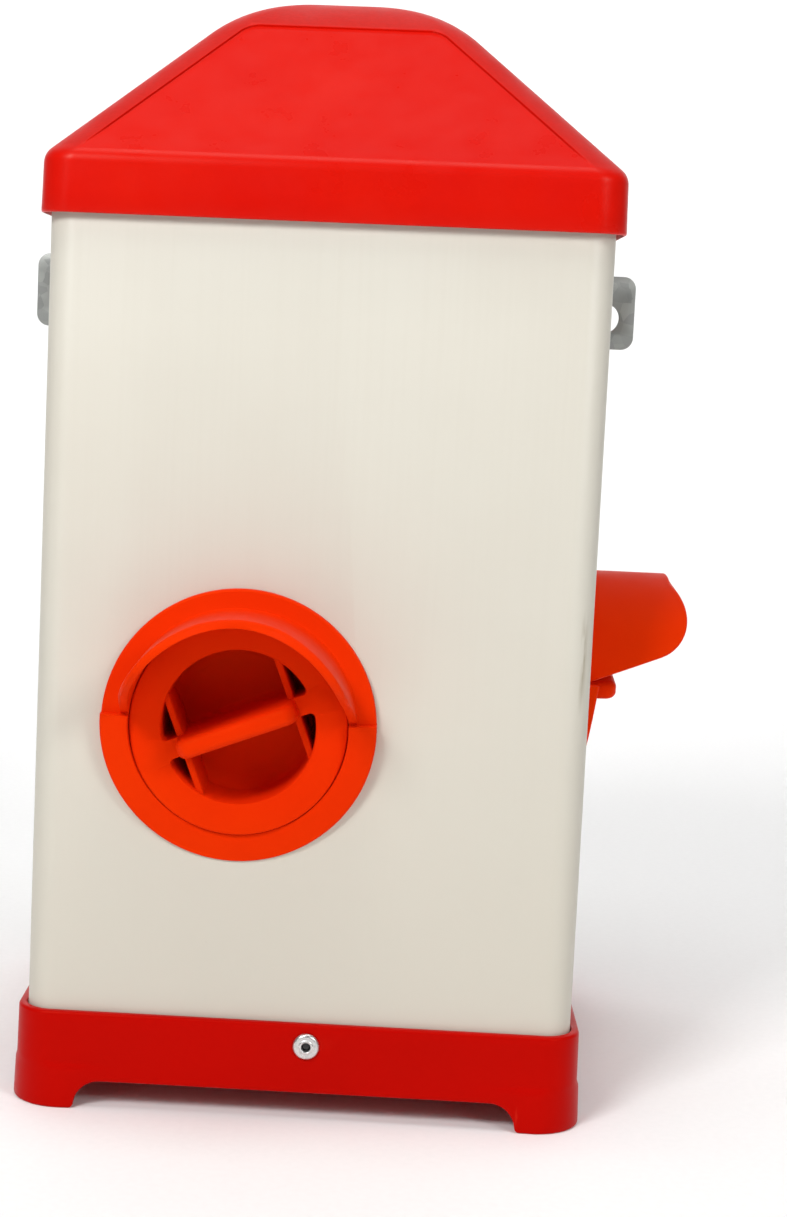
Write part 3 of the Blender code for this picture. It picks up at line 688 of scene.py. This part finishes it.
def base_stations():
    """Stations along one side of the base, close together where an arch turns down into a foot."""
    arch_end = ARCH_FLAT_HALF + ARCH_RADIUS
    half_side = [0.0, 0.02, 0.04, 0.05, 0.056]
    half_side += [ARCH_FLAT_HALF + ARCH_RADIUS * math.sin(math.pi / 2 * k / 12) for k in range(12)]
    half_side += [arch_end + FOOT_ROUND * (1 - math.cos(math.pi / 2 * k / 6)) for k in range(7)]
    half_side += [arch_end + FOOT_ROUND + 0.0012]
    corner = [math.pi / 4 * k / 12 for k in range(1, 13)]
    stations = [("corner", -angle) for angle in reversed(corner[:-1])]
    stations += [("side", -along) for along in reversed(half_side[1:])]
    stations += [("side", along) for along in half_side]
    return stations + [("corner", angle) for angle in corner]


def base_outer(station, height, inward=0.0):
    """(along, out) on the base's outer wall; the feet spread near the corners."""
    drop = (base_high.z - height) / base_high.z
    half = BASE_WALL_TOP_HALF + BASE_DRAFT * drop - inward
    share = min(1.0, max(0.0, (FLARE_TOP - height) / (FLARE_TOP - FLARE_FULL)))
    # a small ledge first, then an even slope
    spread = BASE_FLARE * (0.6 * ease(0, 0.22, share) + 0.4 * share)
    radius = BASE_CORNER + (FOOT_CORNER - BASE_CORNER) * spread / BASE_FLARE
    straight = half + inward - radius
    if station[0] == "side":
        near = min(1.0, max(0.0, 1 - (straight - abs(station[1])) / FLARE_REACH))
        spread *= near ** 2
    return square_point(half, radius - inward, station, spread)


def make_base():
    """Base as one skin: underside and skirt, outer wall, rounded top, socket and floor."""
    stations = base_stations()
    lows = [skirt_height(value) if kind == "side" else 0.0 for kind, value in stations]
    top = base_high.z
    underside = TUBE_HALF + 0.0006
    socket = TUBE_HALF + GAP
    socket_corner = TUBE_CORNER + GAP
    fillet, fillet_rise = 0.0012, 0.0004
    low_round, top_round, chamfer = 0.0008, 0.0010, 0.0003

    def inner_ring(half, radius, heights):
        return around([(*square_point(half, radius, s), z) for s, z in zip(stations, heights)])

    def level_ring(half, radius, height):
        return inner_ring(half, radius, [height] * len(stations))

    def outer_ring(heights, inward=0.0):
        return around([(*base_outer(s, z, inward), z) for s, z in zip(stations, heights)])

    rings = [
        level_ring(underside - fillet, TUBE_CORNER - fillet, FLOOR_LOW),
        level_ring(underside, TUBE_CORNER, FLOOR_LOW - fillet_rise),
        inner_ring(underside, TUBE_CORNER, [low + chamfer for low in lows]),
        inner_ring(underside + chamfer, TUBE_CORNER + chamfer, lows),
    ]
    for lift, inward in quarter_round(low_round, 4):
        rings.append(outer_ring([low + lift for low in lows], inward))
    for share in (0.15, 0.3, 0.45, 0.6, 0.7, 0.77, 0.84, 0.9, 0.96, 1.0):
        rings.append(outer_ring([low + low_round + (FLARE_TOP - low - low_round) * share for low in lows]))
    for height in (FLARE_TOP + 0.0006, FLARE_TOP + 0.004, top - 0.004, top - top_round):
        rings.append(outer_ring([height] * len(stations)))
    for inward, down in quarter_round(top_round, 4)[1:]:
        rings.append(outer_ring([top - down] * len(stations), inward))
    rings += [
        level_ring(socket + chamfer, socket_corner + chamfer, top),
        level_ring(socket, socket_corner, top - chamfer),
        level_ring(socket, socket_corner, FLOOR_TOP + fillet_rise),
        level_ring(socket - fillet, socket_corner - fillet, FLOOR_TOP),
    ]
    shell = loft("base_shell", rings, True, True)
    drill = cylinder("rivet_hole", RIVET_HOLE_RADIUS, -0.02, 0.01, 24)
    steps = []
    for node, place in rivet_frames.items():
        if node.startswith("base"):
            steps.append((drill, "DIFFERENCE", FEEDER.inverted() @ place))
    shell = combined("base_shell", shell, steps)
    piece("base_shell", shell, base_red, "feeder_body", ["base_pan"], FEEDER)


# ------------------------------------------------------------------------ ports


def hood_reach(height):
    """How far the hood stands out at one height: swept lower edge, round nose, short crown."""
    lower_centre = HOOD_REACH - HOOD_LOWER_RADIUS
    touch_angle = HOOD_SWEEP - math.pi / 2
    touch_reach = lower_centre + HOOD_LOWER_RADIUS * math.cos(touch_angle)
    touch_height = HOOD_NOSE_HEIGHT + HOOD_LOWER_RADIUS * math.sin(touch_angle)
    if height < touch_height:
        return touch_reach + (height - touch_height) / math.tan(HOOD_SWEEP)
    if height < HOOD_NOSE_HEIGHT:
        rise = height - HOOD_NOSE_HEIGHT
        return lower_centre + math.sqrt(HOOD_LOWER_RADIUS ** 2 - rise ** 2)
    rise = min(height - HOOD_NOSE_HEIGHT, HOOD_UPPER_RADIUS)
    nose = HOOD_REACH - HOOD_UPPER_RADIUS + math.sqrt(HOOD_UPPER_RADIUS ** 2 - rise ** 2)
    return max(HOOD_TOP_REACH, nose)


def flange_front(radius, angle):
    """How far the flange stands out: flat above the step, thicker and wedge-shaped below it."""
    if math.sin(angle) > math.sin(FLANGE_STEP):
        return FLANGE_UPPER
    return FLANGE_MIDDLE + (FLANGE_MIDDLE - FLANGE_FOOT) / FLANGE_RADIUS * radius * math.sin(angle)


def hood_section(angle):
    """Closed section through flange, hood and sleeve at one angle, as (radius, reach)."""
    sine = math.sin(angle)
    rim = flange_front(FLANGE_RADIUS, angle)
    section = [(SLEEVE_RADIUS, 0.0), (FLANGE_RADIUS - 0.0003, 0.0), (FLANGE_RADIUS, 0.0003)]
    for inward, down in quarter_round(min(FLANGE_ROUND, rim * 0.45), 4):
        section.append((FLANGE_RADIUS - inward, rim - down))

    # hood's outside, with a fillet at its foot and a rounded front edge
    foot = flange_front(HOOD_RADIUS, angle)
    reach = max(foot, hood_reach(HOOD_RADIUS * sine))
    fillet = min(0.0006, (reach - foot) * 0.4)
    bevel = min(HOOD_BEVEL, (reach - foot) * 0.4)
    section.append((HOOD_RADIUS + fillet, flange_front(HOOD_RADIUS + fillet, angle)))
    section.append((HOOD_RADIUS + fillet * 0.3, foot + fillet * 0.3))
    section.append((HOOD_RADIUS, foot + fillet))
    for share in (0.33, 0.66, 1.0):
        section.append((HOOD_RADIUS, foot + fillet + (reach - bevel - foot - fillet) * share))
    for inward, down in quarter_round(bevel, 3)[1:]:
        section.append((HOOD_RADIUS - inward, reach - down))

    # front face, then the mouth's wall down to its floor
    inner_reach = max(flange_front(MOUTH_RADIUS, angle), hood_reach(MOUTH_RADIUS * sine))
    lip = 0.0004
    inner_front = inner_reach + (reach - inner_reach) * lip / (HOOD_RADIUS - MOUTH_RADIUS)
    section.append((MOUTH_RADIUS + lip, inner_front))
    section.append((MOUTH_RADIUS + lip * 0.3, inner_reach - lip * 0.3))
    section.append((MOUTH_RADIUS, inner_reach - lip))
    for share in (0.5, 1.0):
        section.append((MOUTH_RADIUS, inner_reach - lip - (inner_reach - lip + MOUTH_DEPTH) * share))
    section += [
        (SLEEVE_BORE, -MOUTH_DEPTH),
        (SLEEVE_BORE, -SLEEVE_DEPTH + 0.0004),
        (SLEEVE_BORE + 0.0004, -SLEEVE_DEPTH),
        (SLEEVE_RADIUS - 0.0006, -SLEEVE_DEPTH),
        (SLEEVE_RADIUS, -SLEEVE_DEPTH + 0.0006),
    ]
    return section


def make_port(side):
    angles = [2 * math.pi * k / PORT_STEPS for k in range(PORT_STEPS)]
    # a pair of sections close together makes each end of the flange's step
    for edge in (FLANGE_STEP, math.pi - FLANGE_STEP):
        angles += [edge - 0.0004, edge + 0.0004]
    rings = []
    for angle in sorted(angles):
        cosine, sine = math.cos(angle), math.sin(angle)
        rings.append([(radius * cosine, radius * sine, reach) for radius, reach in hood_section(angle)])
    mesh = loft(side + "_hood_shell", rings, closed=True)
    piece(side + "_hood_shell", mesh, port_orange, "feeder_body",
          [side + "_port_hood"], port_frames[side], 32)


def plug_solid():
    """Plug without its pockets: ring face, skirt with the seal's groove and the cup's outside."""
    cup_outer = CUP_RADIUS + CUP_WALL
    behind_face = PLUG_FACE - PLUG_FACE_THICKNESS
    shoulder = -MOUTH_DEPTH + GAP
    edge = 0.0006
    profile = [(0, PLUG_FACE)]
    profile += arc((PLUG_RIM_RADIUS - edge, PLUG_FACE - edge), edge, math.pi / 2, 0, 5)
    profile += [
        (PLUG_RIM_RADIUS, shoulder + 0.0003),
        (PLUG_RIM_RADIUS - 0.0003, shoulder),
        (PLUG_SKIRT_RADIUS, shoulder),
        (PLUG_SKIRT_RADIUS, SEAL_GROOVE_TOP),
        (SEAL_GROOVE_RADIUS, SEAL_GROOVE_TOP),
        (SEAL_GROOVE_RADIUS, SEAL_GROOVE_END),
        (PLUG_SKIRT_RADIUS - 0.0003, SEAL_GROOVE_END),
        (PLUG_SKIRT_RADIUS, SEAL_GROOVE_END - 0.0003),
        (PLUG_SKIRT_RADIUS - 0.0004, PLUG_SKIRT_END + 0.0005),
        (PLUG_SKIRT_RADIUS - 0.0009, PLUG_SKIRT_END),
        (PLUG_SKIRT_INNER + 0.0004, PLUG_SKIRT_END),
        (PLUG_SKIRT_INNER, PLUG_SKIRT_END + 0.0004),
        (PLUG_SKIRT_INNER, behind_face - 0.0006),
        (PLUG_SKIRT_INNER - 0.0006, behind_face),
        (cup_outer + 0.0004, behind_face),
        (cup_outer, behind_face - 0.0006),
        (cup_outer - 0.0006, CUP_FLOOR - CUP_WALL + 0.0010),
        (cup_outer - 0.0016, CUP_FLOOR - CUP_WALL),
        (0, CUP_FLOOR - CUP_WALL),
    ]
    return turned("plug_solid", profile, 160)


def pocket_outline(radius, side, corner, sign):
    """Half disc beside the grip bar with round corners, as (x, y)."""
    centre_y = side + corner
    centre_x = math.sqrt((radius - corner) ** 2 - centre_y ** 2)
    touch = math.atan2(centre_y, centre_x)
    right = arc((centre_x, centre_y), corner, -math.pi / 2, touch, 6)
    rim = arc((0, 0), radius, touch, math.pi - touch, 40)[1:-1]
    left = [(-x, y) for x, y in reversed(right)]
    outline = right + rim + left
    return [(x, y * sign) for x, y in outline]


def pocket(sign):
    """Cutter for one finger pocket: drafted wall, round at the floor and a chamfer at the face."""
    depth = PLUG_FACE - CUP_FLOOR
    draft = CUP_RADIUS - CUP_FLOOR_RADIUS
    chamfer = 0.0005
    corner = 0.0016
    side = GRIP_HALF_WIDTH - 0.0001
    rings = []
    for rise, shrink in quarter_round(CUP_ROUND, 7):
        radius = CUP_FLOOR_RADIUS + draft * rise / depth - shrink
        rings.append((radius, side + shrink * 0.4, CUP_FLOOR + rise))
    rings.append((CUP_RADIUS - draft * chamfer / depth, side, PLUG_FACE - chamfer))
    rings.append((CUP_RADIUS + chamfer * 0.35, side, PLUG_FACE - chamfer * 0.4))
    rings.append((CUP_RADIUS + chamfer, side, PLUG_FACE))
    rings.append((CUP_RADIUS + chamfer * 1.5, side, PLUG_FACE + 0.0005))
    layers = []
    for radius, edge, height in rings:
        layers.append([(x, y, height) for x, y in pocket_outline(radius, edge, corner, sign)])
    return loft("pocket", layers, True, True)


def rounded_bar(name, outline, half_width, radius, keep_below):
    """Prism of a side outline (along, height) with its long top edges rounded."""
    bm = bmesh.new()
    rows = []
    for level in (-half_width, half_width):
        rows.append([bm.verts.new((along, level, height)) for along, height in outline])
    count = len(outline)
    for index in range(count):
        after = (index + 1) % count
        bm.faces.new((rows[0][index], rows[0][after], rows[1][after], rows[1][index]))
    bm.faces.new(reversed(rows[0]))
    bm.faces.new(rows[1])
    bmesh.ops.recalc_face_normals(bm, faces=bm.faces[:])
    rims = []
    for edge in bm.edges:
        a, b = edge.verts
        level = a.co.y * b.co.y > 0
        if level and a.co.z > keep_below and b.co.z > keep_below:
            rims.append(edge)
    bmesh.ops.bevel(bm, geom=rims, offset=radius, segments=5, profile=0.5, affect="EDGES",
                    clamp_overlap=False)
    return mesh_from(bm, name)


def bar_outline(half_length, low, top, corner, steps):
    """Side outline of a bar with round upper corners, as (along, height)."""
    right = arc((half_length - corner, top - corner), corner, 0, math.pi / 2, steps)
    left = [(-x, z) for x, z in reversed(right)]
    return [(half_length, low)] + right + left + [(-half_length, low)]


def make_plug(side):
    """Plug with two finger pockets, a grip bar that is hollow from behind and two cross walls."""
    low = CUP_FLOOR - 0.0005
    outline = bar_outline(GRIP_HALF_LENGTH, low, GRIP_TOP, GRIP_CORNER, 10)
    bar = rounded_bar("grip_bar", outline, GRIP_HALF_WIDTH, GRIP_ROUND, low + 0.001)
    steps = [(pocket(1), "DIFFERENCE", STILL), (pocket(-1), "DIFFERENCE", STILL), (bar, "UNION", STILL)]
    reach = math.sqrt((CUP_RADIUS + CUP_WALL / 2) ** 2 - CROSS_WALL_PLACE ** 2)
    wall_outline = [(reach, low), (reach, CROSS_WALL_TOP), (-reach, CROSS_WALL_TOP), (-reach, low)]
    for sign in (-1, 1):
        wall = rounded_bar("cross_wall", wall_outline, CROSS_WALL_HALF, 0.0005, CROSS_WALL_TOP - 0.0001)
        steps.append((wall, "UNION", Matrix.Translation((sign * CROSS_WALL_PLACE, 0, 0)) @ QUARTER_TURN))
    hollow = bar_outline(GRIP_HALF_LENGTH - GRIP_WALL, -0.03, GRIP_TOP - GRIP_WALL, 0.0025, 6)
    slot = rounded_bar("grip_hollow", hollow, GRIP_HALF_WIDTH - GRIP_WALL, 0.0006, -0.029)
    steps.append((slot, "DIFFERENCE", STILL))
    mesh = combined(side + "_plug_shell", plug_solid(), steps)
    place = port_frames[side] @ Matrix.Rotation(PLUG_TURN[side], 4, "Z")
    piece(side + "_plug_shell", mesh, port_orange, side + "_plug_turning",
          [side + "_plug"], place, 34)


# -------------------------------------------------------------- rivets and strap


def rivet_mesh(name, grip):
    """Blind rivet: domed head with a ring groove and a collar, shank and bulb."""
    profile = [
        (RIVET_BORE_RADIUS, -0.0010), (RIVET_BORE_RADIUS, 0.0008), (0.00150, 0.00108), (0.00175, 0.00120),
        (0.00205, 0.00116), (0.00225, 0.00098), (0.00255, 0.00090), (0.00285, 0.00094), (0.00320, 0.00092),
        (0.00360, 0.00074), (0.00388, 0.00048), (0.00403, 0.00022), (RIVET_HEAD_RADIUS, 0.00005),
        (RIVET_HEAD_RADIUS - 0.00005, 0.0), (RIVET_SHANK_RADIUS, 0.0), (RIVET_SHANK_RADIUS, -grip),
        (RIVET_BULB_RADIUS, -grip - 0.0003), (RIVET_BULB_RADIUS, -grip - 0.0016),
        (RIVET_SHANK_RADIUS, -grip - 0.0036), (RIVET_BORE_RADIUS, -grip - 0.0038),
    ]
    return turned(name, profile, 64)


def make_rivets():
    meshes = {"base": rivet_mesh("base_rivet_fine", BASE_RIVET_GRIP),
              "strap": rivet_mesh("strap_rivet_fine", STRAP_RIVET_GRIP)}
    for node, place in rivet_frames.items():
        mesh = meshes[node.split("_")[0]]
        piece(node + "_fine", mesh, aluminium, "feeder_body", [node], place, 30)


def make_strap():
    """Flat bar with round corners, two screw holes, two rivet holes and slightly rounded edges."""
    half_length = (strap_high.x - strap_low.x) / 2
    half_height = (strap_high.z - strap_low.z) / 2
    thickness = strap_high.y - strap_low.y
    curve = bpy.data.curves.new("strap_outline", "CURVE")
    curve.dimensions = "2D"
    curve.fill_mode = "BOTH"
    curve.extrude = thickness / 2 - STRAP_EDGE
    curve.bevel_depth = STRAP_EDGE
    curve.bevel_resolution = 2
    curve.offset = -STRAP_EDGE
    outline = []
    for sign_x, sign_y, start in ((1, 1, 0), (-1, 1, 1), (-1, -1, 2), (1, -1, 3)):
        centre = (sign_x * (half_length - STRAP_CORNER), sign_y * (half_height - STRAP_CORNER))
        outline += arc(centre, STRAP_CORNER, start * math.pi / 2, (start + 1) * math.pi / 2, 10)
    loops = [outline]
    rivet_offset = (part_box("strap_rivet_right")[0].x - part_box("strap_rivet_left")[0].x) / 2
    for sign in (-1, 1):
        full = 2 * math.pi * 47 / 48
        loops.append(arc((sign * STRAP_HOLE_SPACING / 2, -STRAP_HOLE_DROP), STRAP_HOLE_RADIUS, full, 0, 47))
        loops.append(arc((sign * rivet_offset, 0), RIVET_HOLE_RADIUS, full, 0, 23))
    for loop in loops:
        spline = curve.splines.new("POLY")
        spline.points.add(len(loop) - 1)
        for point, (x, y) in zip(spline.points, loop):
            point.co = (x, y, 0, 1)
        spline.use_cyclic_u = True
    bm = bmesh.new()
    bm.from_mesh(evaluated(placed("strap_outline", curve, STILL)))
    bmesh.ops.remove_doubles(bm, verts=bm.verts[:], dist=0.000005)
    mesh = mesh_from(bm, "strap_plate")
    place = Matrix.Translation((strap_low + strap_high) / 2) @ UPRIGHT
    piece("strap_plate", mesh, zinc, "feeder_body", ["hanging_strap"], place)


# ------------------------------------------------------------------- assembling


def port_frame(side):
    """Frame of one port: its middle on the wall, X to the right, Y up and Z outwards."""
    low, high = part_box(side + "_port_hood")
    middle = (low + high) / 2
    if side == "front":
        return Matrix.Translation((middle.x, tube_low.y, middle.z)) @ UPRIGHT
    return Matrix.Translation((tube_high.x, middle.y, middle.z)) @ QUARTER_TURN @ UPRIGHT


def rivet_frame(node):
    """Head's seat and outward direction of one rivet, from its CAD box."""
    low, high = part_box(node)
    wall = "back" if node.startswith("strap") else node.split("_")[-1]
    outward = Vector({"front": (0, -1, 0), "right": (1, 0, 0), "back": (0, 1, 0), "left": (-1, 0, 0)}[wall])
    axis = max(range(3), key=lambda k: abs(outward[k]))
    end = high[axis] if outward[axis] > 0 else low[axis]
    seat = (low + high) / 2
    seat[axis] = end - outward[axis] * RIVET_HEAD_HEIGHT
    matrix = outward.to_track_quat("Z", "Y").to_matrix().to_4x4()
    matrix.translation = seat
    return matrix


port_frames = {side: port_frame(side) for side in ("front", "side")}
rivet_frames = {node: rivet_frame(node) for node in sorted(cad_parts)
                if "rivet" in node and "mandrel" not in node and "washer" not in node}

make_tube()
make_lid()
make_base()
for side in port_frames:
    make_port(side)
    make_plug(side)
make_rivets()
make_strap()

# Hidden and small sub-parts keep their CAD shape
CAD_LOOKS = {
    "gasket": black_rubber,
    "seal": black_rubber,
    "lock_nut": port_orange,
    "feed_guard": port_orange,
    "mandrel": dark_steel,
    "washer": zinc,
}
for name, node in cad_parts.items():
    for key, look in CAD_LOOKS.items():
        if key in name:
            node.data.materials.clear()
            node.data.materials.append(look)


# ----------------------------------------------------------------------- studio


def soft_box(name, place, target, size, power):
    """Rectangular area light that faces a target."""
    light = bpy.data.lights.new(name, "AREA")
    light.shape = "RECTANGLE"
    light.size, light.size_y = size
    light.energy = power
    aim = (Vector(target) - Vector(place)).to_track_quat("-Z", "Y").to_matrix().to_4x4()
    placed(name, light, Matrix.Translation(place) @ aim)


def make_stage():
    """White floor that curves up behind the feeder."""
    profile = [(-1.6, 0.0)] + arc((1.2, 0.8), 0.8, -math.pi / 2, 0, 24) + [(2.0, 2.4)]
    bm = bmesh.new()
    rows = [[bm.verts.new((x, y, z)) for y, z in profile] for x in (-3.0, 3.0)]
    for index in range(len(profile) - 1):
        bm.faces.new((rows[0][index], rows[1][index], rows[1][index + 1], rows[0][index + 1]))
    mesh = mesh_from(bm, "studio_floor")
    mesh.shade_smooth()
    n = Nodes("studio_paper", 0.8, specular=0.1)
    grain = n.remap(n.noise(400, 2), 0.3, 0.7, 0, 1)
    mesh.materials.append(n.finish(n.mix(grain, (0.93, 0.93, 0.93, 1), (0.95, 0.95, 0.95, 1))))
    floor = placed("studio_floor", mesh, STILL)


def make_camera():
    """Camera in front of the feeder, a little above the ports and looking slightly down."""
    camera = bpy.data.cameras.new("camera")
    camera.sensor_width = 36
    camera.lens = 65.23
    camera.shift_x = 0.0801
    camera.clip_end = 20
    pitch, yaw, roll = 0.11413, 0.04493, 0.04774
    lens_axes = Matrix.Diagonal((1, -1, -1))
    turn = Matrix.Rotation(yaw, 3, "Y") @ Matrix.Rotation(pitch, 3, "X") @ Matrix.Rotation(roll, 3, "Z")
    upright = Matrix(((1, 0, 0), (0, 0, -1), (0, 1, 0)))
    aim = (lens_axes @ turn @ upright).transposed().to_4x4()
    place = Matrix.Translation((TUBE_X + 0.02044, TUBE_Y - 0.74226, 0.23462))
    bpy.context.scene.camera = placed("camera", camera, place @ aim)


def make_light():
    """Key high at the left, a weaker one at the right, a strip beside each, fills and a backdrop wash."""
    middle = (TUBE_X, TUBE_Y, 0.17)
    soft_box("key_softbox", (-0.50, -0.95, 0.95), middle, (0.34, 0.34), 9.2)
    soft_box("right_softbox", (0.90, -1.05, 0.85), middle, (0.40, 0.40), 5.6)
    soft_box("left_strip", (-0.80, -1.10, 0.40), middle, (0.07, 0.9), 0.9)
    soft_box("right_strip", (0.85, -1.05, 0.40), middle, (0.07, 0.9), 0.7)
    soft_box("top_softbox", (0.0, -0.30, 1.60), middle, (1.0, 0.6), 8.0)
    soft_box("front_fill", (-0.1, -1.9, 0.85), middle, (0.9, 0.6), 0.4)
    soft_box("backdrop_wash", (0.0, 0.75, 1.70), (0.0, 1.95, 0.70), (2.6, 0.5), 27)
    world = bpy.data.worlds.new("studio_world")
    world.use_nodes = True
    background = world.node_tree.nodes["Background"]
    background.inputs["Color"].default_value = (1.0, 0.98, 0.96, 1)
    background.inputs["Strength"].default_value = 0.14
    scene = bpy.context.scene
    scene.world = world
    scene.view_settings.view_transform = "Standard"


make_stage()
make_camera()
make_light()
